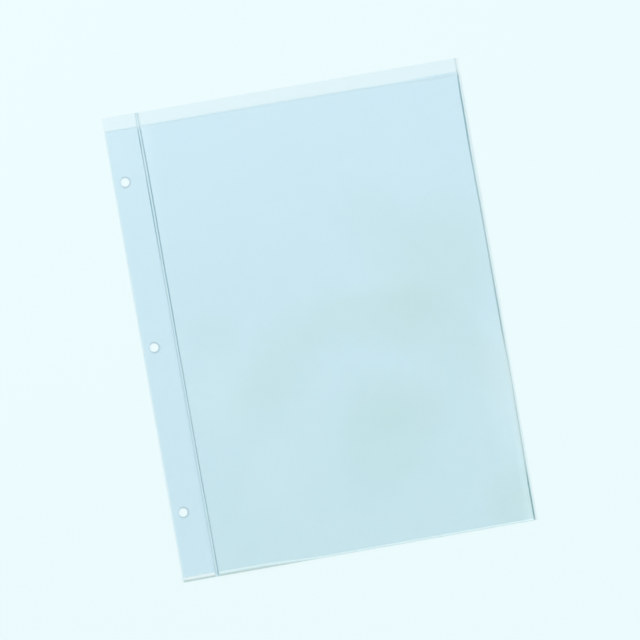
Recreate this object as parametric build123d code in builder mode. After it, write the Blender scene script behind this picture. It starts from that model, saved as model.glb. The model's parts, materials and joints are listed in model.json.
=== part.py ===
import os

from build123d import *

# Page, lying flat on its back, with the binding margin at -X and the mouth of the pocket at +Y
page_width = 233.0
page_height = 303.5
film = 0.12  # one layer of polypropylene film
pocket_gap = 0.30  # room between the two leaves of the empty pocket
lip_height = 8.5  # the back leaf stands this far above the front leaf

# Ring holes, punched through both layers of the margin
hole_diameter = 5.5
hole_pitch = 107.95  # three-ring standard, four and a quarter inches
hole_inset = 7.9  # binding edge to the hole centres
hole_rise = 0.9  # middle hole above the middle of the page

# Double seam between the margin and the pocket
seam_inset = 22.7  # binding edge to the middle of the seam
seam_pitch = 1.8  # between the two weld lines
weld_line_width = 0.8
fused_thickness = 0.20  # two layers pressed together while they were soft
weld_bead_rise = 0.10  # bead squeezed up out of the weld line

# Welds along the two outer edges
edge_weld_width = 0.6
side_weld_width = 2.5
side_rim_width = 1.5  # flat pressed rim outside the bead of the side weld

# Running clearances of the front leaf
leaf_side_clearance = 0.05
leaf_foot_clearance = 0.06

# Places that follow from the sizes above
left = -page_width / 2
right = page_width / 2
foot = -page_height / 2
head = page_height / 2
mouth = head - lip_height
pocket_depth = 2 * film + pocket_gap
margin_depth = 2 * film
seam_x = left + seam_inset
outer_line_x = seam_x - seam_pitch / 2
inner_line_x = seam_x + seam_pitch / 2
margin_left = left + edge_weld_width
margin_right = outer_line_x - weld_line_width / 2
web_left = outer_line_x + weld_line_width / 2
web_right = inner_line_x - weld_line_width / 2
pocket_left = inner_line_x + weld_line_width / 2
pocket_right = right - side_weld_width
rim_left = right - side_rim_width
fold_y = foot + pocket_depth / 2
margin_fold_y = foot + film
bead_top = fused_thickness + weld_bead_rise


def across(y):
    """A plane across the page at height y, with X across the page and Z up; it extrudes towards the foot."""
    return Plane(origin=(0, y, 0), x_dir=(1, 0, 0), z_dir=(0, -1, 0))


def along(x):
    """A plane along the page at x, with Y up the page and Z up; it extrudes towards the right edge."""
    return Plane(origin=(x, 0, 0), x_dir=(0, 1, 0), z_dir=(1, 0, 0))


def panel(x0, x1, y0, y1):
    """A rectangle drawn between two corners in the current sketch."""
    with Locations(((x0 + x1) / 2, (y0 + y1) / 2)):
        Rectangle(x1 - x0, y1 - y0)


# Back leaf of the pocket, with the lip that stands above the mouth
with BuildPart() as back_leaf:
    with BuildSketch(Plane.XY):
        panel(pocket_left, pocket_right, fold_y, head)
    extrude(amount=film)

# Front leaf, lying over the pocket's gap and free to lift at the mouth
with BuildPart() as front_leaf:
    with BuildSketch(Plane.XY.offset(film + pocket_gap)):
        panel(
            pocket_left + leaf_side_clearance,
            pocket_right - leaf_side_clearance,
            fold_y + leaf_foot_clearance,
            mouth,
        )
    extrude(amount=film)

# Bottom fold, where the web of film turns round from the back leaf to the front leaf
with BuildPart() as bottom_fold:
    with BuildSketch(along(pocket_left)):
        with BuildLine():
            outside = CenterArc((fold_y, pocket_depth / 2), pocket_depth / 2, 90, 180)
            inside = CenterArc((fold_y, pocket_depth / 2), pocket_gap / 2, 90, 180)
            Line(outside @ 0, inside @ 0)
            Line(outside @ 1, inside @ 1)
        make_face()
    extrude(amount=pocket_right - pocket_left)

# Side weld along the right edge: a bead that closes the pocket, a flat pressed rim, and one layer beside the lip
with BuildPart() as side_weld:
    with BuildSketch(across(mouth)):
        with BuildLine():
            Polyline(
                (pocket_right, 0),
                (right, 0),
                (right, fused_thickness),
                (rim_left, fused_thickness),
                (rim_left - (rim_left - pocket_right) / 3, bead_top),
                (pocket_right, pocket_depth),
                close=True,
            )
        make_face()
    extrude(amount=mouth - foot)
    with BuildSketch(across(head)):
        panel(pocket_right, right, 0, film)
    extrude(amount=lip_height)

# Inner seam weld: it rises from the hinge web to the full depth of the pocket that it closes
with BuildPart() as inner_seam_weld:
    with BuildSketch(across(mouth)):
        with BuildLine():
            Polyline(
                (web_right, 0),
                (pocket_left, 0),
                (pocket_left, pocket_depth),
                (inner_line_x, bead_top),
                (web_right, fused_thickness),
                close=True,
            )
        make_face()
    extrude(amount=mouth - foot)
    with BuildSketch(across(head)):
        panel(web_right, pocket_left, 0, film)
    extrude(amount=lip_height)

# Hinge web: the flexible strip of fused film between the two weld lines
with BuildPart() as hinge_web:
    with BuildSketch(across(mouth)):
        panel(web_left, web_right, 0, fused_thickness)
    extrude(amount=mouth - foot)
    with BuildSketch(across(head)):
        panel(web_left, web_right, 0, film)
    extrude(amount=lip_height)

# Outer seam weld: a low bead between the hinge web and the two layers of the margin
with BuildPart() as outer_seam_weld:
    with BuildSketch(across(mouth)):
        with BuildLine():
            Polyline(
                (margin_right, 0),
                (web_left, 0),
                (web_left, fused_thickness),
                (outer_line_x, bead_top),
                (margin_right, margin_depth),
                close=True,
            )
        make_face()
    extrude(amount=mouth - foot)
    with BuildSketch(across(head)):
        panel(margin_right, web_left, 0, film)
    extrude(amount=lip_height)

# Back layer of the binding margin, as tall as the back leaf, with the ring holes
with BuildPart() as margin_back_film:
    with BuildSketch(Plane.XY):
        panel(margin_left, margin_right, margin_fold_y, head)
        with Locations((left + hole_inset, hole_rise)):
            with GridLocations(0, hole_pitch, 1, 3):
                Circle(hole_diameter / 2, mode=Mode.SUBTRACT)
    extrude(amount=film)

# Front layer of the binding margin, level with the front leaf at the mouth, with the same holes
with BuildPart() as margin_front_film:
    with BuildSketch(Plane.XY.offset(film)):
        panel(margin_left, margin_right, margin_fold_y, mouth)
        with Locations((left + hole_inset, hole_rise)):
            with GridLocations(0, hole_pitch, 1, 3):
                Circle(hole_diameter / 2, mode=Mode.SUBTRACT)
    extrude(amount=film)

# Crease at the foot of the margin, where its two layers lie together and the film turns round on itself
with BuildPart() as margin_bottom_fold:
    with BuildSketch(along(margin_left)):
        with BuildLine():
            bend = CenterArc((margin_fold_y, film), film, 90, 180)
            Line(bend @ 1, bend @ 0)
        make_face()
    extrude(amount=margin_right - margin_left)

# Binding edge weld: the trimmed left edge, fused so that the two layers of the margin stay together
with BuildPart() as binding_edge_weld:
    with BuildSketch(across(mouth)):
        panel(left, margin_left, 0, margin_depth)
    extrude(amount=mouth - foot)
    with BuildSketch(across(head)):
        panel(left, margin_left, 0, film)
    extrude(amount=lip_height)

back_leaf.part.label = "back_leaf"
front_leaf.part.label = "front_leaf"
bottom_fold.part.label = "bottom_fold"
side_weld.part.label = "side_weld"
inner_seam_weld.part.label = "inner_seam_weld"
hinge_web.part.label = "hinge_web"
outer_seam_weld.part.label = "outer_seam_weld"
margin_back_film.part.label = "margin_back_film"
margin_front_film.part.label = "margin_front_film"
margin_bottom_fold.part.label = "margin_bottom_fold"
binding_edge_weld.part.label = "binding_edge_weld"

os.makedirs("parts", exist_ok=True)
export_step(back_leaf.part, "parts/back_leaf.step")
export_step(front_leaf.part, "parts/front_leaf.step")
export_step(bottom_fold.part, "parts/bottom_fold.step")
export_step(side_weld.part, "parts/side_weld.step")
export_step(inner_seam_weld.part, "parts/inner_seam_weld.step")
export_step(hinge_web.part, "parts/hinge_web.step")
export_step(outer_seam_weld.part, "parts/outer_seam_weld.step")
export_step(margin_back_film.part, "parts/margin_back_film.step")
export_step(margin_front_film.part, "parts/margin_front_film.step")
export_step(margin_bottom_fold.part, "parts/margin_bottom_fold.step")
export_step(binding_edge_weld.part, "parts/binding_edge_weld.step")

print("page", page_width, "x", page_height, "x", pocket_depth, "mm")
print("pocket, clear", pocket_right - pocket_left, "x", mouth - fold_y, "mm")
print("seam hinge at x", seam_x, "fold hinge at y", fold_y, "z", pocket_depth / 2)
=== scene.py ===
# %% [markdown]
# A clear sheet protector, the kind that goes in a ring binder.
# The real one is a single web of polypropylene film, folded once along the
# bottom, welded along a double seam and down the right edge, then punched and
# trimmed. This lesson dresses its plain CAD model: each CAD solid is replaced
# by a thin, slightly wavy piece of film in the same place.

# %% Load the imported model
import json
import math

import bmesh
import bpy
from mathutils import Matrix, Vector


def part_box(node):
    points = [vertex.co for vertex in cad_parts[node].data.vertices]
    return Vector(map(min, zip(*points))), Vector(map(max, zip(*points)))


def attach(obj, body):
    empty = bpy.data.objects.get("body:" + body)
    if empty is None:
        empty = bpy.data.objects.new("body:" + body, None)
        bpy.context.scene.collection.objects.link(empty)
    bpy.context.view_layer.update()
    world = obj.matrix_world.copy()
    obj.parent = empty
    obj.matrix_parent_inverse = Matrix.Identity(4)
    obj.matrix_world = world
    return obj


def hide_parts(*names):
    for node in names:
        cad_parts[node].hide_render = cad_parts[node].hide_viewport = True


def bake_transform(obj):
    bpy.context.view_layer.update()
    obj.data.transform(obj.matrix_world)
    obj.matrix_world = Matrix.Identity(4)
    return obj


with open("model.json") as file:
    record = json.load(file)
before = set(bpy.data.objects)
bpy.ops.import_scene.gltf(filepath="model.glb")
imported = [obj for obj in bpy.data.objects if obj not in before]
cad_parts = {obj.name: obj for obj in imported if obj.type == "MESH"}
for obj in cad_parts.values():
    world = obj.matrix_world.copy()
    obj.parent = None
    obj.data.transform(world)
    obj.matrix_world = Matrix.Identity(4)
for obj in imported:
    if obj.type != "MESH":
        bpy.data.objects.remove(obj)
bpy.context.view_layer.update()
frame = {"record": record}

MM = 0.001

# %% [markdown]
# Every place on the page can be read from the CAD solids, so no size is typed
# twice. X runs from the binding edge to the welded edge, Y runs up the page to
# the mouth of the pocket, and Z comes out of the front leaf.

# %% Read the places from the CAD
back_low, back_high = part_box("back_leaf")
front_low, front_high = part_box("front_leaf")
margin_low, margin_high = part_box("margin_back_film")
web_low, web_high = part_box("hinge_web")
side_low, side_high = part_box("side_weld")
edge_low, edge_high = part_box("binding_edge_weld")

LEFT, RIGHT = edge_low.x, side_high.x
FOOT, HEAD = side_low.y, side_high.y
MOUTH = front_high.y
SEAM = (web_low.x + web_high.x) / 2
POCKET_LEFT, POCKET_RIGHT = back_low.x, back_high.x
POCKET_MIDDLE = (POCKET_LEFT + POCKET_RIGHT) / 2
FILM = back_high.z - back_low.z
HOLES = [m for m in frame["record"]["mounts"] if m["kind"] == "bore"]
print("page", round((RIGHT - LEFT) / MM, 1), "x", round((HEAD - FOOT) / MM, 1), "mm,",
      "film", round(FILM / MM, 2), "mm,", len(HOLES), "ring holes")

# %% [markdown]
# Film never lies quite flat. It touches the table in some places and stands a
# few tenths of a millimetre off it in others, and the empty pocket holds a
# little air. A cloth simulation could find such a shape, but the lifts are so
# small that three smooth functions of the place on the page do it better, and
# every piece that uses the same functions stays joined to its neighbours.

# %% How the page lies
MOST_LIFT = 0.40 * MM
SEAM_HOLD = 30 * MM  # the stiff seam lies straight, and holds the film beside it
LEAST_AIR, SWELL_AIR = 0.30 * MM, 0.35 * MM
AIR_EDGE, SWELL_EDGE = 5 * MM, 45 * MM  # how far from a weld each is at its full height
SWELL_FOOT = 0.2  # the share of the pocket's height over which the swell begins
LAYER_GAP = 0.01 * MM  # the leaves never quite touch
LOOSE_REACH, TIGHT_REACH = 3.1 * MM, 1.4 * MM
LOOSE_UNTIL, TIGHT_FROM = LEFT + 50 * MM, LEFT + 95 * MM


def ease(t):
    """Goes smoothly from 0 to 1 while t does, and stays there outside."""
    t = min(max(t, 0.0), 1.0)
    return t * t * (3 - 2 * t)


def table_lift(x, y):
    """How far the underside of the page stands off the table, in two crossing waves."""
    u = (x - LEFT) / (RIGHT - LEFT)
    v = (y - FOOT) / (HEAD - FOOT)
    slow = 0.5 + 0.5 * math.sin(2 * math.pi * (0.85 * u + 0.6 * v) + 0.9)
    cross = 0.5 + 0.5 * math.sin(2 * math.pi * (0.5 * u - 1.1 * v) + 2.2)
    held = ease(abs(x - SEAM) / SEAM_HOLD)
    return MOST_LIFT * slow * cross * held


def roll_reach(x):
    """How far up the page the rolled bottom edge reaches: more at the left."""
    tight = ease((x - LOOSE_UNTIL) / (TIGHT_FROM - LOOSE_UNTIL))
    return LOOSE_REACH + (TIGHT_REACH - LOOSE_REACH) * tight


def pocket_air(x, y):
    """The gap between the two leaves, closed at the welds."""
    u = (x - POCKET_LEFT) / (POCKET_RIGHT - POCKET_LEFT)
    v = (y - FOOT) / (MOUTH - FOOT)
    inside = min(x - POCKET_LEFT, POCKET_RIGHT - x)
    gap = LEAST_AIR * ease(inside / AIR_EDGE)
    swell = 0.55 + 0.45 * math.sin(2 * math.pi * (1.1 * u + 0.7 * v) + 0.4)
    gap += SWELL_AIR * swell * ease(inside / SWELL_EDGE) * ease(v / SWELL_FOOT)
    return gap + LAYER_GAP


print("lift in the middle", round(table_lift(0, 0) / MM, 2), "mm,",
      "air", round(pocket_air(0, 0) / MM, 2), "mm")

# %% [markdown]
# A sheet of film starts as a flat grid primitive of small cells. Its points
# are moved to where the film lies, and a Solidify modifier then gives it its
# real thickness, with closed edges all round.

# %% Tools for sheets of film
SMOOTH_ANGLE = math.radians(40)  # edges that turn by more than this stay sharp


def flat_grid(name, x0, x1, y0, y1, columns, rows):
    """A flat grid between two corners, with so many columns and rows."""
    bpy.ops.object.select_all(action="DESELECT")
    bpy.ops.mesh.primitive_grid_add(
        x_subdivisions=columns, y_subdivisions=rows,
        size=1, location=((x0 + x1) / 2, (y0 + y1) / 2, 0))
    sheet = bpy.context.object
    sheet.name = sheet.data.name = name
    sheet.scale = (x1 - x0, y1 - y0, 1)
    bpy.ops.object.transform_apply(location=True, rotation=True, scale=True)
    return sheet


def move_points(piece, rule):
    """Moves each point of a mesh to the place that the rule gives for it."""
    for vertex in piece.data.vertices:
        vertex.co = rule(*vertex.co)
    piece.data.update()


def thicken(sheet, offset=1):
    """Gives a sheet the film's thickness: on its upper side, or with offset 0 on both sides."""
    solid = sheet.modifiers.new("film_thickness", "SOLIDIFY")
    solid.thickness = FILM
    solid.offset = offset
    bpy.context.view_layer.objects.active = sheet
    bpy.ops.object.modifier_apply(modifier=solid.name)


def smooth(piece):
    """Shades a finished piece smooth and says how many faces it has."""
    piece.select_set(True)
    bpy.ops.object.shade_smooth_by_angle(angle=SMOOTH_ANGLE)
    print(piece.name, len(piece.data.polygons), "faces")


# %% [markdown]
# The back leaf is the tall panel of the pocket. It lies on the table, and its
# top edge stands above the front leaf as a lip. Its lower edge stops where the
# rolled bottom edge begins, and that line is not straight, because the roll is
# looser at the left.

# %% Back leaf
PANEL_COLUMNS = 84  # cells of about 2.5 mm


def above_roll(x, y, low, high):
    """Stretches a panel so that its lower edge follows the top of the roll."""
    start = FOOT + roll_reach(x)
    return start + (y - low) * (high - start) / (high - low)


def back_leaf_place(x, y, z):
    """Where a point of the flat back leaf goes."""
    y = above_roll(x, y, back_low.y, HEAD)
    return Vector((x, y, table_lift(x, y)))


back_leaf = flat_grid("back_leaf_film", POCKET_LEFT, POCKET_RIGHT,
                      back_low.y, HEAD, PANEL_COLUMNS, rows=122)
move_points(back_leaf, back_leaf_place)
thicken(back_leaf)
smooth(back_leaf)

# %% [markdown]
# The front leaf is welded down along both sides and bows up in the middle when papers go in. One
# stiff panel could not do that, so the leaf is made in two halves that meet in the middle.

# %% Front leaf in two halves
def mouth_line(x):
    """The front leaf's cut edge: a low step, then a dip near the right; all in mm."""
    u = (x - LEFT) / MM
    step = 0.3 * ease((u - 90) / 60)
    dip = 0.45 * (ease((u - 160) / 28) - ease((u - 198) / 18))
    return MOUTH - (step + dip) * MM


def front_leaf_place(x, y, z):
    """Where a point of the flat front leaf goes."""
    low = front_low.y
    y = low + (y - low) * (mouth_line(x) - low) / (MOUTH - low)
    y = above_roll(x, y, low, mouth_line(x))
    return Vector((x, y, table_lift(x, y) + FILM + pocket_air(x, y)))


front_left = flat_grid("front_leaf_left_half", POCKET_LEFT, POCKET_MIDDLE,
                       front_low.y, MOUTH, PANEL_COLUMNS // 2, rows=118)
front_right = flat_grid("front_leaf_right_half", POCKET_MIDDLE, POCKET_RIGHT,
                        front_low.y, MOUTH, PANEL_COLUMNS // 2, rows=118)
for half in (front_left, front_right):
    move_points(half, front_leaf_place)
    thicken(half)
    smooth(half)

# %% [markdown]
# The bottom edge is where the web of film turns round from the back leaf to
# the front leaf. It is a narrow flattened roll. A grid is wrapped round half an
# ellipse: its rows go from the underside, round the edge, to the upper side.
# The foot of the margin is the same fold, pressed flatter. A roll gets its
# thickness about its middle line, and then its faces are turned outwards.

# %% Rolled bottom edges
PRESSED_FOLD = 2.2 * FILM


def wrapped_roll(name, x0, x1, columns, height):
    """A strip of film wrapped round half an ellipse along the bottom edge."""
    strip = flat_grid(name, x0, x1, 0, 1, columns, rows=16)

    def place(x, turn, z):
        reach, rise = roll_reach(x), height(x) / 2 - FILM / 2
        angle = math.pi * (0.5 + turn)
        y = FOOT + reach + (reach - FILM / 2) * math.cos(angle)
        z = FILM / 2 + rise - rise * math.sin(angle)
        return Vector((x, y, z + table_lift(x, FOOT)))

    move_points(strip, place)
    thicken(strip, offset=0)
    bpy.ops.object.mode_set(mode="EDIT")
    bpy.ops.mesh.select_all(action="SELECT")
    bpy.ops.mesh.normals_make_consistent(inside=False)
    bpy.ops.object.mode_set(mode="OBJECT")
    smooth(strip)
    return strip


bottom_roll = wrapped_roll(
    "bottom_fold_roll", POCKET_LEFT, POCKET_RIGHT, PANEL_COLUMNS,
    height=lambda x: 2 * FILM + pocket_air(x, FOOT + roll_reach(x)))
margin_crease = wrapped_roll(
    "margin_foot_crease", margin_low.x, margin_high.x, columns=12,
    height=lambda x: PRESSED_FOLD)

# %% [markdown]
# The binding margin is two layers of film lying together, punched with three
# round holes. A hole is made in the grid as it would be by hand: a square of
# cells is deleted, and the loop of edges that is left is extruded inwards in
# three steps, each nearer to the circle. That keeps neat rings of cells round
# each hole.

# %% Margin sheets with ring holes
MARGIN_CELL = 0.9 * MM
MARGIN_GAP = 0.02 * MM  # between its two layers
STRETCHED = 20 * MM  # the lowest part of a sheet, which gives way to the fold


def punch(sheet, hole, steps=3):
    """Cuts one round hole in a flat grid, with so many rings of cells round it."""
    middle = Vector(hole["pos_m"]).to_2d()
    radius = hole["dims"]["r_mm"] * MM
    half_square, square_corner = 1.7 * radius, 2.6 * radius  # of the cells that go
    bpy.ops.object.mode_set(mode="EDIT")
    bpy.ops.mesh.select_mode(type="FACE")
    bpy.ops.mesh.select_all(action="DESELECT")
    mesh = bmesh.from_edit_mesh(sheet.data)
    for face in mesh.faces:
        offset = face.calc_center_median().to_2d() - middle
        face.select_set(max(abs(offset.x), abs(offset.y)) < half_square)
    bmesh.update_edit_mesh(sheet.data)
    bpy.ops.mesh.delete(type="FACE")
    bpy.ops.mesh.select_mode(type="EDGE")
    mesh = bmesh.from_edit_mesh(sheet.data)
    for edge in mesh.edges:
        near = all((v.co.to_2d() - middle).length < square_corner for v in edge.verts)
        edge.select_set(edge.is_boundary and near)
    bmesh.update_edit_mesh(sheet.data)
    for step in range(steps):
        bpy.ops.mesh.extrude_region()
        mesh = bmesh.from_edit_mesh(sheet.data)
        ring = [v for v in mesh.verts if v.select]
        for vertex in ring:
            offset = vertex.co.to_2d() - middle
            goal = middle + offset.normalized() * radius
            vertex.co.xy += (goal - vertex.co.to_2d()) / (steps - step)
        bmesh.update_edit_mesh(sheet.data)
    bpy.ops.object.mode_set(mode="OBJECT")
    print(sheet.name, "hole of", len(ring), "sides")


def margin_sheet(name, top, height):
    """One layer of the margin, up to the given top edge."""
    rows = round((top - margin_low.y) / MARGIN_CELL)
    sheet = flat_grid(name, margin_low.x, margin_high.x, margin_low.y, top,
                      columns=23, rows=rows)
    stretch_top = margin_low.y + STRETCHED
    for hole in HOLES:
        punch(sheet, hole)
    if sheet.data.polygons[0].normal.z < 0:
        sheet.data.flip_normals()

    def place(x, y, z):
        if y < stretch_top:
            y = above_roll(x, y, margin_low.y, stretch_top)
        return Vector((x, y, table_lift(x, y) + height))

    move_points(sheet, place)
    thicken(sheet)
    smooth(sheet)
    return sheet


margin_back = margin_sheet("margin_back_sheet", HEAD, 0.0)
margin_front = margin_sheet("margin_front_sheet", MOUTH, FILM + MARGIN_GAP)

# %% [markdown]
# A weld is film that was pressed while it was soft: a narrow bar that is a
# little thinner than the layers it joins, with a low rounded bead squeezed up
# along its middle. Each bar starts as a cube at its size and place, gets its
# long top edges bevelled, and is cut into short lengths so that it can follow
# the page. Beside the lip only one layer of film is left.

# %% Tools for welded bars
TINY = 0.001 * MM
LONG_EDGE = 50 * MM
MOUTH_STEP = 0.3 * MM  # over this length a weld goes down to one layer


def pick_edges(piece, rule):
    """Selects the edges whose two ends satisfy the rule, in edit mode."""
    bpy.ops.mesh.select_mode(type="EDGE")
    bpy.ops.mesh.select_all(action="DESELECT")
    mesh = bmesh.from_edit_mesh(piece.data)
    for edge in mesh.edges:
        edge.select_set(rule(edge.verts[0].co, edge.verts[1].co))
    bmesh.update_edit_mesh(piece.data)


def round_top(bar, top, round_by):
    """Bevels the long edges of a bar's top, in edit mode."""
    pick_edges(bar, lambda a, b: abs(a.y - b.y) > TINY and min(a.z, b.z) > top - TINY)
    bpy.ops.mesh.bevel(offset=round_by, segments=3, affect="EDGES")


def weld_bar(name, low, high, round_by):
    """A bar of fused film between two corners, with rounded top edges; stays in edit mode."""
    bpy.ops.object.select_all(action="DESELECT")
    bpy.ops.mesh.primitive_cube_add(size=1, location=(low + high) / 2)
    bar = bpy.context.object
    bar.name = bar.data.name = name
    bar.scale = high - low
    bpy.ops.object.transform_apply(location=True, rotation=True, scale=True)
    bpy.ops.object.mode_set(mode="EDIT")
    round_top(bar, high.z, round_by)
    return bar


def cut_lengths(bar):
    """Cuts a bar across at the mouth and into short lengths elsewhere, and leaves edit mode."""
    for y in (MOUTH, MOUTH + MOUTH_STEP):
        bpy.ops.mesh.select_all(action="SELECT")
        bpy.ops.mesh.bisect(plane_co=(0, y, 0), plane_no=(0, 1, 0))
    pick_edges(bar, lambda a, b: abs(a.y - b.y) > LONG_EDGE)
    bpy.ops.mesh.subdivide(number_cuts=120)
    bpy.ops.object.mode_set(mode="OBJECT")


def lay_bar(bar, top):
    """Lets a bar of the given height follow the page, one layer thick beside the lip."""
    def place(x, y, z):
        if y > MOUTH + MOUTH_STEP / 2:
            z *= FILM / top
        return Vector((x, y, z + table_lift(x, y)))

    move_points(bar, place)
    smooth(bar)


# %% [markdown]
# The double seam has three pieces: a weld on the margin's side, a weld that
# closes the pocket, and between them the thin strip that bends like a hinge
# when the page is turned. To bend smoothly, the strip is also cut into narrow
# lanes along its length. A thin bar of the same kind holds the margin's two
# layers together at the binding edge.

# %% Seam welds and the hinge strip between them
outer_low, outer_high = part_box("outer_seam_weld")
inner_low, inner_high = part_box("inner_seam_weld")
inner_high.z = outer_high.z  # both beads are equally high
seam_pieces = {}
for name, low, high, round_by in (
        ("outer_seam_bead", outer_low, outer_high, 0.2 * MM),
        ("inner_seam_bead", inner_low, inner_high, 0.2 * MM),
        ("hinge_strip", web_low, web_high, 0.03 * MM),
        ("binding_edge_bead", edge_low, edge_high, 0.08 * MM)):
    bar = weld_bar(name, low, high, round_by)
    if name == "hinge_strip":
        strip_width = high.x - low.x
        pick_edges(bar, lambda a, b: abs(a.x - b.x) > strip_width / 2)
        bpy.ops.mesh.subdivide(number_cuts=9)
    cut_lengths(bar)
    lay_bar(bar, high.z)
    seam_pieces[name] = bar
outer_bead, inner_bead = seam_pieces["outer_seam_bead"], seam_pieces["inner_seam_bead"]
hinge_strip, edge_bead = seam_pieces["hinge_strip"], seam_pieces["binding_edge_bead"]

# %% [markdown]
# The weld down the right edge has a bead on the pocket's side, which shows as
# a dark line, and a flat pressed rim outside it. The rim is a bar, cut along
# the foot of the bead, and the bead is its inner part extruded upwards.

# %% Side weld
RIM_LEFT = RIGHT - 1.5 * MM
RIM_HEIGHT, BEAD_RISE = 0.20 * MM, 0.12 * MM
rim_high = Vector((side_high.x, side_high.y, RIM_HEIGHT))
side_weld = weld_bar("side_weld_strip", side_low, rim_high, 0.04 * MM)
bpy.ops.mesh.select_all(action="SELECT")
bpy.ops.mesh.bisect(plane_co=(RIM_LEFT, 0, 0), plane_no=(1, 0, 0))
bpy.ops.mesh.select_mode(type="FACE")
bpy.ops.mesh.select_all(action="DESELECT")
mesh = bmesh.from_edit_mesh(side_weld.data)
for face in mesh.faces:
    middle = face.calc_center_median()
    face.select_set(face.normal.z > 0.99 and middle.x < RIM_LEFT)
bmesh.update_edit_mesh(side_weld.data)
bpy.ops.mesh.extrude_region_move(TRANSFORM_OT_translate={"value": (0, 0, BEAD_RISE)})
round_top(side_weld, RIM_HEIGHT + BEAD_RISE, 0.1 * MM)
cut_lengths(side_weld)
lay_bar(side_weld, RIM_HEIGHT + BEAD_RISE)

# %% [markdown]
# Colours are written as on a colour chart, as sRGB hex values, and turned into
# the linear values that a renderer works with. One small function adds a node,
# sets it and links it.

# %% Colours and nodes
# The sockets of a Mix node that mixes colours: its factor, its two colours, its result
MIX_BY, MIX_FROM, MIX_TO, MIXED = 0, 6, 7, 2


def colour(code):
    """Linear RGBA of an sRGB hex colour."""
    parts = [int(code[i:i + 2], 16) / 255 for i in (1, 3, 5)]
    linear = [p / 12.92 if p <= 0.04045 else ((p + 0.055) / 1.055) ** 2.4 for p in parts]
    return (*linear, 1.0)


def add_node(tree, kind, inputs=(), **settings):
    """Adds a node, sets it, and fills its inputs with values or links."""
    made = tree.nodes.new(kind)
    for name, value in settings.items():
        setattr(made, name, value)
    for socket, value in dict(inputs).items():
        if isinstance(value, bpy.types.NodeSocket):
            tree.links.new(value, made.inputs[socket])
        else:
            made.inputs[socket].default_value = value
    return made


# %% [markdown]
# Polypropylene film is cast on a polished roll. Most light goes straight
# through. A small share is scattered by the tinted plastic, which gives the
# pale blue, and the smooth skin mirrors a little more the flatter one looks
# along it. So the finish mixes three things: a clear part, a tinted haze, and
# a gloss whose share grows towards the edge-on view. It reads where each point
# lies at rest from an attribute, so that its pattern stays on film that bends.

# %% Streaks, clouds and gloss of cast film
STREAK_WIDTH, STREAK_LENGTH = 1.8 * MM, 220 * MM
CLOUD_SIZE = 60 * MM
STREAK_SHARE, CLOUD_SHARE, EVEN_SHARE = 0.10, 0.12, 0.89  # of the haze
GRAIN_SIZE, GRAIN_DEPTH = 0.5 * MM, 0.02 * MM  # too shallow to see but for its gloss
GRAIN_STRENGTH = 0.12
SMOOTHEST, ROUGHEST = 0.12, 0.24
FACING_GLOSS = 0.04  # the share of light that the skin mirrors straight back


def roll_streaks(tree, place):
    """Long fine streaks, which the casting roll leaves up the page."""
    web = add_node(tree, "ShaderNodeMapping", {
        "Vector": place, "Scale": (1 / STREAK_WIDTH, 1 / STREAK_LENGTH, 1 / STREAK_LENGTH)})
    streaks = add_node(tree, "ShaderNodeTexNoise", {
        "Vector": web.outputs["Vector"], "Scale": 1.0, "Detail": 2.0})
    return streaks.outputs["Fac"]


def unevenness(tree, place, streaks):
    """How far the streaks and slow clouds thin or thicken the haze, about 1."""
    clouds = add_node(tree, "ShaderNodeTexNoise", {
        "Vector": place, "Scale": 1 / CLOUD_SIZE, "Detail": 1.5})
    uneven = add_node(tree, "ShaderNodeMath", {
        0: streaks, 1: STREAK_SHARE, 2: EVEN_SHARE}, operation="MULTIPLY_ADD")
    uneven = add_node(tree, "ShaderNodeMath", {
        0: clouds.outputs["Fac"], 1: CLOUD_SHARE, 2: uneven.outputs["Value"]},
        operation="MULTIPLY_ADD")
    return uneven.outputs["Value"]


def skin_gloss(tree, place, streaks):
    """The gloss of the skin, with its fine grain, duller on some streaks than on others."""
    grain = add_node(tree, "ShaderNodeTexNoise", {
        "Vector": place, "Scale": 1 / GRAIN_SIZE, "Detail": 1.0})
    skin = add_node(tree, "ShaderNodeBump", {
        "Height": grain.outputs["Fac"], "Strength": GRAIN_STRENGTH, "Distance": GRAIN_DEPTH})
    rough = add_node(tree, "ShaderNodeMapRange", {
        "Value": streaks, "To Min": SMOOTHEST, "To Max": ROUGHEST})
    gloss = add_node(tree, "ShaderNodeBsdfAnisotropic", {
        "Roughness": rough.outputs["Result"], "Normal": skin.outputs["Normal"]})
    return gloss.outputs["BSDF"]


def gloss_share(tree):
    """The share of light that the skin mirrors: little from in front, all of it edge-on."""
    edge_on = add_node(tree, "ShaderNodeLayerWeight", {"Blend": 0.5})
    steep = add_node(tree, "ShaderNodeMath", {
        0: edge_on.outputs["Facing"], 1: 5.0}, operation="POWER")
    mirror = add_node(tree, "ShaderNodeMath", {
        0: steep.outputs["Value"], 1: 1 - FACING_GLOSS, 2: FACING_GLOSS},
        operation="MULTIPLY_ADD")
    return mirror.outputs["Value"]


# %% [markdown]
# The finish puts these together. Its tint and its share of haze change down the page, darker and
# greener towards the foot, and lists of rules add to it or take from it what only some of the
# pieces show, painted shadow, shade and highlight among them.

# %% Clear film
BACK_TINTS, BACK_SHARES = ("#76DAFF", "#78D2EC"), (0.033, 0.045)


def height_on_page(tree, place):
    """The Y of a place on the page."""
    return add_node(tree, "ShaderNodeSeparateXYZ", {"Vector": place}).outputs["Y"]


def down_the_page(tree, place):
    """Goes from 0 at the head of the page to 1 not far above its foot."""
    way = add_node(tree, "ShaderNodeMapRange", {
        "Value": height_on_page(tree, place), "From Min": HEAD, "From Max": FOOT + 50 * MM})
    return way.outputs["Result"]


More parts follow.
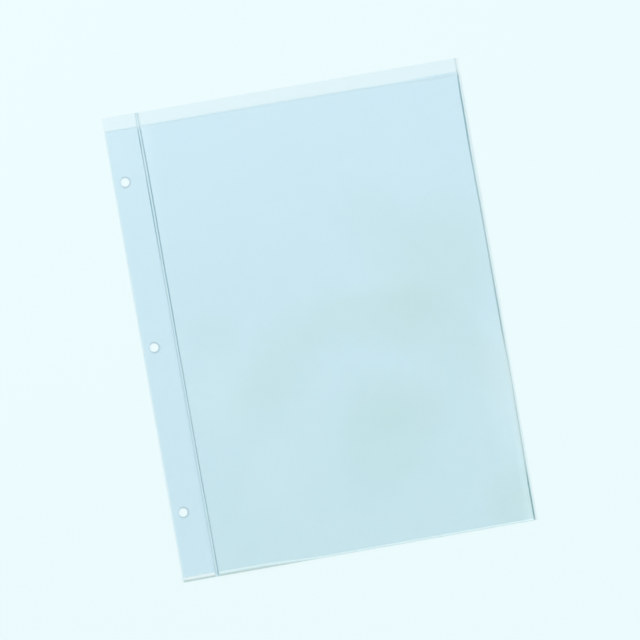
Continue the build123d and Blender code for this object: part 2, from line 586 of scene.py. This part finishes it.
def film_finish(name, tints, shares, run=down_the_page, fades=(), marks=(), hued_marks=()):
    """Cast film: clear, with a share of tinted haze on each of its faces.

    Tint and share go from the first to the second of their pairs along the run. A fade thins the
    haze somewhere, a mark adds to it, and a hued mark adds haze of another hue; among these are
    painted shadow, painted shade and a painted highlight.
    """
    finish = bpy.data.materials.new(name)
    finish.use_nodes = True
    tree = finish.node_tree
    tree.nodes.clear()
    rest = add_node(tree, "ShaderNodeAttribute", attribute_name="place_at_rest")
    place = rest.outputs["Vector"]
    way = run(tree, place)
    tint = add_node(tree, "ShaderNodeMix", {
        MIX_BY: way, MIX_FROM: colour(tints[0]), MIX_TO: colour(tints[1])}, data_type="RGBA")
    share = add_node(tree, "ShaderNodeMapRange", {
        "Value": way, "To Min": shares[0], "To Max": shares[1]})
    streaks = roll_streaks(tree, place)
    haze = add_node(tree, "ShaderNodeMath", {
        0: share.outputs["Result"], 1: unevenness(tree, place, streaks)}, operation="MULTIPLY")
    for fade in fades:
        haze = add_node(tree, "ShaderNodeMath", {
            0: haze.outputs["Value"], 1: fade(tree, place)}, operation="MULTIPLY")
    for mark in marks:
        haze = add_node(tree, "ShaderNodeMath", {
            0: haze.outputs["Value"], 1: mark(tree, place)}, operation="ADD")
    for hued_mark, hue, density in hued_marks:
        extra = add_node(tree, "ShaderNodeMath", {
            0: hued_mark(tree, place), 1: density}, operation="MULTIPLY")
        haze = add_node(tree, "ShaderNodeMath", {
            0: haze.outputs["Value"], 1: extra.outputs["Value"]}, operation="ADD")
        part = add_node(tree, "ShaderNodeMath", {
            0: extra.outputs["Value"], 1: haze.outputs["Value"]}, operation="DIVIDE")
        tint = add_node(tree, "ShaderNodeMix", {
            MIX_BY: part.outputs["Value"], MIX_FROM: tint.outputs[MIXED], MIX_TO: colour(hue)},
            data_type="RGBA")

    clear = add_node(tree, "ShaderNodeBsdfTransparent")
    tinted = add_node(tree, "ShaderNodeBsdfPrincipled", {
        "Base Color": tint.outputs[MIXED], "Roughness": 0.4, "Specular IOR Level": 0.2})
    body = add_node(tree, "ShaderNodeMixShader", {
        0: haze.outputs["Value"], 1: clear.outputs["BSDF"], 2: tinted.outputs["BSDF"]})
    surface = add_node(tree, "ShaderNodeMixShader", {
        0: gloss_share(tree), 1: body.outputs["Shader"], 2: skin_gloss(tree, place, streaks)})
    add_node(tree, "ShaderNodeOutputMaterial", {"Surface": surface.outputs["Shader"]})
    return finish


back_film = film_finish("clear_polypropylene_back", BACK_TINTS, BACK_SHARES)
print("finish", back_film.name)

# %% [markdown]
# A sealing bar never presses evenly along its whole length, so each weld line
# is strong in some places and faint in others. Nor are the lines quite straight.
# The line of the side weld lies partly in the front leaf near the head, and
# further down it goes out into the pressed rim; the inner line of the seam goes
# a little into the hinge strip. So each line is one rule, and the films that it
# crosses all draw their share of it.

# %% Weld lines that change down the page
SOFT_EDGE = 0.1  # mm, to each side of a line's edge


def along_the_page(*stops):
    """A rule for a value that changes down the page; a stop is mm below the head, and the value."""
    def rule(tree, place):
        way = add_node(tree, "ShaderNodeMapRange", {
            "Value": height_on_page(tree, place), "From Min": HEAD, "From Max": FOOT})
        ramp = add_node(tree, "ShaderNodeValToRGB", {"Fac": way.outputs["Result"]})
        marks = ramp.color_ramp.elements
        while len(marks) < len(stops):
            marks.new(0.5)
        for mark, (below, value) in zip(marks, stops):
            mark.position = below * MM / (HEAD - FOOT)
            mark.color = (value, value, value, 1)
        return ramp.outputs["Color"]

    return rule


def weld_line(edge, half_width, strays, strengths):
    """A rule that gives a line's strength on the line and 0 beside it.

    The line's middle strays so many mm to the right of an edge, and it is
    twice the half width across, in mm.
    """
    stray, strength = along_the_page(*strays), along_the_page(*strengths)
    inside, outside = (half_width - SOFT_EDGE) * MM, (half_width + SOFT_EDGE) * MM

    def rule(tree, place):
        along = add_node(tree, "ShaderNodeSeparateXYZ", {"Vector": place})
        middle = add_node(tree, "ShaderNodeMath", {
            0: stray(tree, place), 1: MM, 2: edge}, operation="MULTIPLY_ADD")
        off = add_node(tree, "ShaderNodeMath", {
            0: along.outputs["X"], 1: middle.outputs["Value"]}, operation="SUBTRACT")
        off = add_node(tree, "ShaderNodeMath", {0: off.outputs["Value"]}, operation="ABSOLUTE")
        line = add_node(tree, "ShaderNodeMapRange", {
            "Value": off.outputs["Value"], "From Min": inside, "From Max": outside,
            "To Min": 1.0, "To Max": 0.0})
        strong = add_node(tree, "ShaderNodeMath", {
            0: line.outputs["Result"], 1: strength(tree, place)}, operation="MULTIPLY")
        return strong.outputs["Value"]

    return rule


def whole_weld(line, least):
    """A rule for the weld that a line runs in: the line, and a lighter haze beside it."""
    def rule(tree, place):
        haze = add_node(tree, "ShaderNodeMath", {
            0: line(tree, place), 1: least}, operation="MAXIMUM")
        return haze.outputs["Value"]

    return rule


# Each weld line darkens the films that it crosses; the darkness is partly the fused film's own and
# partly painted shade.
side_line = weld_line(
    POCKET_RIGHT, half_width=0.5,
    strays=((0, 0.75), (7, 0.75), (20, 0.4), (50, 0.23), (60, 0.15), (80, 0.28), (95, 0.52),
            (180, 0.66), (205, 0.98), (219, 0.98), (230, 0.82), (250, 0.77), (280, 0.6),
            (303, 0.6)),
    strengths=((0, 0.22), (8, 0.22), (12, 0.8), (27, 1.02), (40, 0.97), (60, 0.78), (70, 0.64),
               (130, 0.68), (168, 0.88), (180, 0.74), (192, 0.43), (212, 0.32), (230, 0.44),
               (250, 0.42), (268, 0.58), (280, 1.2), (301.8, 1.15), (303, 0.4)))
inner_line = weld_line(
    SEAM, half_width=0.4,
    strays=((0, 0.5), (7, 0.5), (15, 0.74), (40, 0.91), (65, 0.88), (95, 0.63), (120, 0.68),
            (150, 0.6), (245, 0.64), (260, 0.77), (303, 0.77)),
    strengths=((0, 0.33), (8, 0.33), (11, 0.74), (30, 0.9), (45, 1.04), (60, 1.04), (95, 0.89),
               (125, 0.95), (155, 0.76), (185, 0.66), (240, 0.75), (285, 0.72), (298, 0.93),
               (301.6, 0.93), (303, 0.4)))
print("weld lines that stray beside x", [round(x / MM, 2) for x in (POCKET_RIGHT, SEAM)], "mm")

# %% [markdown]
# The front film carries painted light. Just below its cut edge at the mouth runs a thin grey line,
# a painted shadow of that edge, found by the sheet's own map, because the edge wanders; near the
# right end the painted shadow lies a little lower. In some patches, and in a wide arch across the
# pocket, painted shade makes the film a little darker and warmer, and greener under the arch;
# beside the side weld, and at two places near the seam, the film has less haze and looks clearer.

# %% Painted shadow and shade on the front film
EDGE_SHADOW_LOW, EDGE_SHADOW_LOWER = 0.7 * MM, 2.0 * MM  # below the cut edge
ARCH_MIDDLE, ARCH_SHOULDER = 222, 190  # mm below the head


def mouth_edge_painted_shadow(tree, place):
    """Painted shadow of the cut edge: a thin line along the upper edge of the sheet's map, lower
    near its right end.
    """
    chart = add_node(tree, "ShaderNodeUVMap", uv_map="UVMap").outputs["UV"]
    along = add_node(tree, "ShaderNodeSeparateXYZ", {"Vector": place})
    middle = add_node(tree, "ShaderNodeMapRange", {
        "Value": along.outputs["X"], "From Min": LEFT + 196 * MM, "From Max": LEFT + 208 * MM,
        "To Min": EDGE_SHADOW_LOW, "To Max": EDGE_SHADOW_LOWER})
    below = add_node(tree, "ShaderNodeMapRange", {
        "Value": height_on_page(tree, chart), "From Min": 1.0, "From Max": 0.0,
        "To Max": MOUTH - FOOT})
    off = add_node(tree, "ShaderNodeMath", {
        0: below.outputs["Result"], 1: middle.outputs["Result"]}, operation="SUBTRACT")
    off = add_node(tree, "ShaderNodeMath", {0: off.outputs["Value"]}, operation="ABSOLUTE")
    line = add_node(tree, "ShaderNodeMapRange", {
        "Value": off.outputs["Value"], "From Min": 0.2 * MM, "From Max": 1.1 * MM,
        "To Min": 1.0, "To Max": 0.0})
    return line.outputs["Result"]


def spot_distance(tree, place, right, below, across, up):
    """Distance from a spot on the page, 1 at its two radii; all are given in mm."""
    spot = add_node(tree, "ShaderNodeMapping", {
        "Vector": place, "Scale": (1 / (across * MM), 1 / (up * MM), 0),
        "Location": (-(LEFT / MM + right) / across, -(HEAD / MM - below) / up, 0)})
    away = add_node(tree, "ShaderNodeVectorMath", {0: spot.outputs["Vector"]}, operation="LENGTH")
    return away.outputs["Value"]


def soft_patches(tree, place, *patches):
    """Soft-edged spots, added up: each has its place and two radii in mm, and its strength."""
    total = 0.0
    for right, below, across, up, strength in patches:
        patch = add_node(tree, "ShaderNodeMapRange", {
            "Value": spot_distance(tree, place, right, below, across, up), "From Min": 0.25,
            "From Max": 1.0, "To Min": strength, "To Max": 0.0}, interpolation_type="SMOOTHSTEP")
        total = add_node(tree, "ShaderNodeMath", {
            0: total, 1: patch.outputs["Result"]}, operation="ADD").outputs["Value"]
    return total


def wandering(tree, place):
    """The place, shifted by a few mm in waves about 40 mm long, so that no edge is smooth."""
    sway = 24 * MM
    waves = add_node(tree, "ShaderNodeTexNoise", {
        "Vector": place, "Scale": 1 / (40 * MM), "Detail": 1.0})
    shift = add_node(tree, "ShaderNodeMapping", {
        "Vector": waves.outputs["Color"], "Scale": (sway, sway, 0),
        "Location": (-sway / 2, -sway / 2, 0)})
    moved = add_node(tree, "ShaderNodeVectorMath", {
        0: place, 1: shift.outputs["Vector"]}, operation="ADD")
    return moved.outputs["Vector"]


def arch_painted_shade(tree, place):
    """Painted shade: the upper half of a wide oval band, and patches about it."""
    place = wandering(tree, place)
    rim = add_node(tree, "ShaderNodeMath", {
        0: spot_distance(tree, place, 139, ARCH_MIDDLE, 75, 70), 1: 1.0}, operation="SUBTRACT")
    rim = add_node(tree, "ShaderNodeMath", {0: rim.outputs["Value"]}, operation="ABSOLUTE")
    band = add_node(tree, "ShaderNodeMapRange", {
        "Value": rim.outputs["Value"], "From Min": 0.08, "From Max": 0.4,
        "To Min": 0.85, "To Max": 0.0}, interpolation_type="SMOOTHSTEP")
    upper = add_node(tree, "ShaderNodeMapRange", {
        "Value": height_on_page(tree, place), "From Min": HEAD - ARCH_MIDDLE * MM,
        "From Max": HEAD - ARCH_SHOULDER * MM})
    spots = soft_patches(tree, place, (170, 157, 46, 28, 0.4), (197, 124, 52, 54, 1.0),
                         (158, 90, 30, 34, 0.5), (158, 213, 52, 32, 0.75), (46, 150, 24, 20, 0.45),
                         (220, 290, 28, 28, 0.85))
    total = add_node(tree, "ShaderNodeMath", {
        0: band.outputs["Result"], 1: upper.outputs["Result"], 2: spots},
        operation="MULTIPLY_ADD")
    return total.outputs["Value"]


def arch_core_painted_shade(tree, place):
    """Painted shade: a darker, greener patch under the arch."""
    return soft_patches(tree, wandering(tree, place), (144, 240, 56, 52, 0.85))


def less_haze_patches(tree, place):
    """Less haze beside the side weld and at two places near the seam."""
    thinner = soft_patches(tree, place, (228, 215, 24, 65, 0.25), (44, 190, 32, 36, 0.1),
                           (70, 246, 30, 34, 0.1))
    clearer = add_node(tree, "ShaderNodeMath", {0: 1.0, 1: thinner}, operation="SUBTRACT")
    return clearer.outputs["Value"]


# The mouth mark paints the shadow of the cut edge; the arch and its core are painted shade.
mouth_shadow_mark = (mouth_edge_painted_shadow, "#C4BC98", 0.03)
front_film = film_finish(
    "clear_polypropylene_front", ("#7AD5FF", "#68C8E0"), (0.072, 0.090), fades=[less_haze_patches],
    hued_marks=[mouth_shadow_mark, (arch_painted_shade, "#BCD294", 0.03), (arch_core_painted_shade, "#A8E2BC", 0.03),
             (side_line, "#6FA9B8", 0.45)])
print("finish", front_film.name)

# %% [markdown]
# In the margin a thin grey ring of painted shadow lies round each hole, weak on the side of the
# binding edge, and a painted highlight makes the trimmed edge clearer than the rest. Low down
# beside the seam lies a soft painted shade.

# %% Painted shadow, highlight and shade of the margin
RING_FULL, RING_GONE = 3.3 * MM, 4.4 * MM  # from the middle of a hole


def hole_ring_painted_shadow(tree, place):
    """Painted shadow: a thin ring round each hole, weak on the side of the binding edge."""
    x, y = HOLES[1]["pos_m"][:2]
    pitch = abs(HOLES[0]["pos_m"][1] - y)
    along = add_node(tree, "ShaderNodeSeparateXYZ", {"Vector": place})
    wrapped = add_node(tree, "ShaderNodeMath", {
        0: along.outputs["Y"], 1: y - pitch / 2, 2: y + pitch / 2}, operation="WRAP")
    spot = add_node(tree, "ShaderNodeCombineXYZ", {
        "X": along.outputs["X"], "Y": wrapped.outputs["Value"]})
    away = add_node(tree, "ShaderNodeVectorMath", {
        0: spot.outputs["Vector"], 1: (x, y, 0)}, operation="DISTANCE")
    ring = add_node(tree, "ShaderNodeMapRange", {
        "Value": away.outputs["Value"], "From Min": RING_FULL, "From Max": RING_GONE,
        "To Min": 1.0, "To Max": 0.0}, interpolation_type="SMOOTHSTEP")
    side = add_node(tree, "ShaderNodeMapRange", {
        "Value": along.outputs["X"], "From Min": x - 3.4 * MM, "From Max": x - 0.6 * MM,
        "To Min": 0.15, "To Max": 1.0})
    one_sided = add_node(tree, "ShaderNodeMath", {
        0: ring.outputs["Result"], 1: side.outputs["Result"]}, operation="MULTIPLY")
    return one_sided.outputs["Value"]


def seam_painted_shade(tree, place):
    """Painted shade: soft, on the lower part beside the seam."""
    along = add_node(tree, "ShaderNodeSeparateXYZ", {"Vector": place})
    beside = add_node(tree, "ShaderNodeMapRange", {
        "Value": along.outputs["X"], "From Min": SEAM - 3.4 * MM, "From Max": SEAM - 1.4 * MM})
    low = add_node(tree, "ShaderNodeMapRange", {
        "Value": along.outputs["Y"], "From Min": HEAD - 70 * MM, "From Max": HEAD - 140 * MM,
        "To Max": 0.022})
    shade = add_node(tree, "ShaderNodeMath", {
        0: beside.outputs["Result"], 1: low.outputs["Result"]}, operation="MULTIPLY")
    return shade.outputs["Value"]


def binding_edge_painted_highlight(tree, place):
    """Painted highlight: less haze along the binding edge."""
    along = add_node(tree, "ShaderNodeSeparateXYZ", {"Vector": place})
    inside = add_node(tree, "ShaderNodeMapRange", {
        "Value": along.outputs["X"], "From Min": LEFT + 0.9 * MM,
        "From Max": LEFT + 2.0 * MM, "To Min": 0.72, "To Max": 1.0})
    return inside.outputs["Result"]


# Both margins carry the painted highlight of the binding edge; the front one also the painted shade
# beside the seam and the painted shadows round the holes and below the mouth's edge.
margin_back_film = film_finish(
    "clear_polypropylene_margin_back", BACK_TINTS, BACK_SHARES, fades=[binding_edge_painted_highlight])
margin_front_film = film_finish(
    "clear_polypropylene_margin_front", ("#7AD6FF", "#67CBF4"), (0.071, 0.074),
    fades=[binding_edge_painted_highlight], marks=[seam_painted_shade],
    hued_marks=[(hole_ring_painted_shadow, "#7E9096", 0.11), mouth_shadow_mark])
print("finishes", margin_back_film.name, margin_front_film.name)

# %% [markdown]
# Welded film has been melted through, so it is denser and duller than the rest and shows as a
# grey-blue line; that darkness is partly the fused film's own and partly painted shade, for the
# light that the rounded bead bends away. It hardly shows beside the lip, where there was only one
# layer to melt. The hinge strip and the rim were pressed but not melted through, and the binding
# edge was fused only by the hot knife that trimmed it, so these are paler.

# %% Fused film
outer_weld_film = film_finish(
    "fused_polypropylene_outer_line", ("#6CAEC4", "#6CB6CC"), (0.36, 0.36), fades=[
        along_the_page((0, 0.38), (8, 0.38), (10, 0.72), (18, 1.22), (30, 0.84), (39, 0.73),
                       (48, 0.95), (59, 1.22), (70, 1.06), (80, 0.95), (90, 0.73), (100, 0.56),
                       (301.6, 0.54), (303, 0.25))])
inner_weld_film = film_finish(
    "fused_polypropylene_inner_line", ("#6CAEC4", "#6CAEC0"), (0.43, 0.43),
    fades=[whole_weld(inner_line, 0.25)])
side_weld_film = film_finish(
    "fused_polypropylene_side_line", ("#6FA9B8", "#6FA6AA"), (0.45, 0.45),
    fades=[whole_weld(side_line, 0.22)])
hinge_film = film_finish("pressed_polypropylene", ("#6CC4E4", "#72C2D8"), (0.085, 0.14),
                         hued_marks=[(inner_line, "#6CAEC2", 0.43)])
rim_film = film_finish(
    "pressed_rim_polypropylene", ("#A8D4E0", "#A8D4DE"), (0.085, 0.105),
    fades=[along_the_page((0, 0.25), (8, 0.3), (12, 1.0), (303, 1.0))],
    hued_marks=[(side_line, "#6FA7AE", 0.45)])
edge_film = film_finish("trimmed_polypropylene", ("#A8DCEC", "#B8E4F0"), (0.05, 0.05))
print("finishes", [m.name for m in (outer_weld_film, inner_weld_film, side_weld_film,
                                    hinge_film, rim_film, edge_film)])

# %% [markdown]
# The rolled edge is film that was stretched round a bend. Its upper part is pulled smooth and
# clear, with a whitish haze that is a painted highlight, the bright band where it catches the
# light; at the very edge, a dull grey-white is painted shadow, where the roll turns under.

# %% Creased film, with painted highlight and shadow
def across_the_roll(tree, place):
    """Goes from 0 on the upper part of the roll, its painted highlight, to 1 near its lowest edge,
    its painted shadow.
    """
    along = add_node(tree, "ShaderNodeSeparateXYZ", {"Vector": place})
    shadow_from = add_node(tree, "ShaderNodeMapRange", {
        "Value": along.outputs["X"], "From Min": LOOSE_UNTIL, "From Max": TIGHT_FROM,
        "To Min": FOOT + 1.3 * MM, "To Max": FOOT + 0.2 * MM}, interpolation_type="SMOOTHSTEP")
    above = add_node(tree, "ShaderNodeMath", {
        0: along.outputs["Y"], 1: shadow_from.outputs["Result"]}, operation="SUBTRACT")
    way = add_node(tree, "ShaderNodeMapRange", {
        "Value": above.outputs["Value"], "From Min": 0.4 * MM, "From Max": -0.2 * MM})
    return way.outputs["Result"]


# Both creased finishes paint a highlight on the roll's upper part and a shadow at its lowest edge.
creased_film = film_finish("creased_polypropylene", ("#98F4FF", "#B0CCC8"), (0.03, 0.17),
                           run=across_the_roll)
margin_creased_film = film_finish("creased_polypropylene_margin", ("#E8FFFF", "#B4CECC"),
                                  (0.015, 0.17), run=across_the_roll)
print("finishes", creased_film.name, margin_creased_film.name)

# %% [markdown]
# Each piece notes where its points lie at rest, takes its finish and hides the CAD solid that it
# stands for. Most pieces ride on a body; the hinge strip and the two halves of the front leaf ride
# on none.

# %% Finish the pieces and let them ride
def dress(piece, finish, slot, *nodes):
    """Gives a piece its places at rest and its finish, and hides the CAD nodes it replaces; the
    slot is not used.
    """
    places = piece.data.attributes.new("place_at_rest", "FLOAT_VECTOR", "POINT")
    for note, vertex in zip(places.data, piece.data.vertices):
        note.vector = vertex.co
    piece.data.materials.clear()
    piece.data.materials.append(finish)
    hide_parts(*nodes)


dress(back_leaf, back_film, "clear_film", "back_leaf")
dress(front_left, front_film, "clear_film", "front_leaf")
dress(front_right, front_film, "clear_film", "front_leaf")
dress(bottom_roll, creased_film, "clear_film", "bottom_fold")
dress(side_weld, side_weld_film, "fused_film", "side_weld")
dress(inner_bead, inner_weld_film, "fused_film", "inner_seam_weld")
dress(hinge_strip, hinge_film, "fused_film", "hinge_web")
dress(outer_bead, outer_weld_film, "fused_film", "outer_seam_weld")
dress(margin_back, margin_back_film, "clear_film", "margin_back_film")
dress(margin_front, margin_front_film, "clear_film", "margin_front_film")
dress(margin_crease, margin_creased_film, "clear_film", "margin_bottom_fold")
dress(edge_bead, edge_film, "fused_film", "binding_edge_weld")
side_weld.data.materials.append(rim_film)
for face in side_weld.data.polygons:
    face.material_index = 1 if face.center.x > RIM_LEFT else 0

for piece in (back_leaf, bottom_roll, side_weld, inner_bead):
    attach(piece, "pocket")
for piece in (outer_bead, margin_back, margin_front, margin_crease, edge_bead):
    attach(piece, "binding_margin")
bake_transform(front_left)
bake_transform(front_right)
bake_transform(hinge_strip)

# %% [markdown]

# %% [markdown]
# The page lies on a pale table. The table is opal, like a light table: half of
# what one sees of it is the white behind, so the page stays in view even when it
# bends below the table's surface. Far from the page it clears away, and so no
# edge of it shows in a low view.

# %% Table
PALE = "#EBFAFC"
TABLE_SIZE, TABLE_DROP = 8, 0.15 * MM
SEE_THROUGH = 0.5
CLEARS_FROM, CLEAR_AT = 0.4, 1.6  # metres from the middle of the page
bpy.ops.object.select_all(action="DESELECT")
bpy.ops.mesh.primitive_plane_add(size=TABLE_SIZE, location=(0, 0, -TABLE_DROP))
table = bpy.context.object
table.name = "table"
opal = bpy.data.materials.new("opal_table")
opal.use_nodes = True
tree = opal.node_tree
tree.nodes.clear()
white = add_node(tree, "ShaderNodeBsdfDiffuse", {"Color": colour(PALE)})
through = add_node(tree, "ShaderNodeBsdfTransparent")
spot = add_node(tree, "ShaderNodeTexCoord")
far = add_node(tree, "ShaderNodeVectorMath", {0: spot.outputs["Object"]}, operation="LENGTH")
clear = add_node(tree, "ShaderNodeMapRange", {
    "Value": far.outputs["Value"], "From Min": CLEARS_FROM, "From Max": CLEAR_AT,
    "To Min": SEE_THROUGH, "To Max": 1.0}, interpolation_type="SMOOTHSTEP")
mixed = add_node(tree, "ShaderNodeMixShader", {
    0: clear.outputs["Result"], 1: white.outputs["BSDF"], 2: through.outputs["BSDF"]})
add_node(tree, "ShaderNodeOutputMaterial", {"Surface": mixed.outputs["Shader"]})
table.data.materials.append(opal)
print("table at", round(table.location.z / MM, 2), "mm")

# %% [markdown]
# Two large square lamps give the soft light, a stronger one from the upper left
# and a weaker one from the lower right. The world adds an even light from all
# round; the camera, the gloss and what shows through see the pale backdrop in
# its place.

# %% Lamps and world
LAMP_SIZE = 1.7
scene = bpy.context.scene
for name, stand, power in (("key", (-0.9, 0.9, 1.4), 15.3), ("fill", (1.1, -0.7, 1.3), 10.4)):
    lamp = bpy.data.lights.new(name, "AREA")
    lamp.shape, lamp.size, lamp.energy = "SQUARE", LAMP_SIZE, power
    holder = bpy.data.objects.new(name, lamp)
    holder.location = stand
    holder.rotation_euler = Vector(stand).to_track_quat("Z", "Y").to_euler()
    scene.collection.objects.link(holder)

world = bpy.data.worlds.new("studio")
scene.world = world
world.use_nodes = True
tree = world.node_tree
tree.nodes.clear()
ray = add_node(tree, "ShaderNodeLightPath")
seen = add_node(tree, "ShaderNodeMath", {
    0: ray.outputs["Is Camera Ray"], 1: ray.outputs["Is Glossy Ray"]}, operation="MAXIMUM")
seen = add_node(tree, "ShaderNodeMath", {
    0: seen.outputs["Value"], 1: ray.outputs["Is Transmission Ray"]}, operation="MAXIMUM")
soft = add_node(tree, "ShaderNodeBackground", {"Color": (1, 1, 1, 1), "Strength": 0.6})
backdrop = add_node(tree, "ShaderNodeBackground", {"Color": colour(PALE), "Strength": 1.0})
sky = add_node(tree, "ShaderNodeMixShader", {
    0: seen.outputs["Value"], 1: soft.outputs["Background"], 2: backdrop.outputs["Background"]})
add_node(tree, "ShaderNodeOutputWorld", {"Surface": sky.outputs["Shader"]})

scene.view_settings.view_transform = "Standard"
scene.cycles.transparent_max_bounces = 48  # a low view goes through many layers

# %% [markdown]
# The camera looks straight down from about a metre, through a long lens, and
# is rolled so that the page leans ten degrees to the left.

# %% Camera
lens = bpy.data.cameras.new("camera")
lens.lens = 85
lens.sensor_width = 36
camera = bpy.data.objects.new("camera", lens)
camera.location = (-0.01885, 0.01006, 0.97565)
camera.rotation_euler = [math.radians(a) for a in (-0.3918, -1.1753, -9.9084)]
scene.collection.objects.link(camera)
scene.camera = camera
print("camera", [round(c, 3) for c in camera.location])
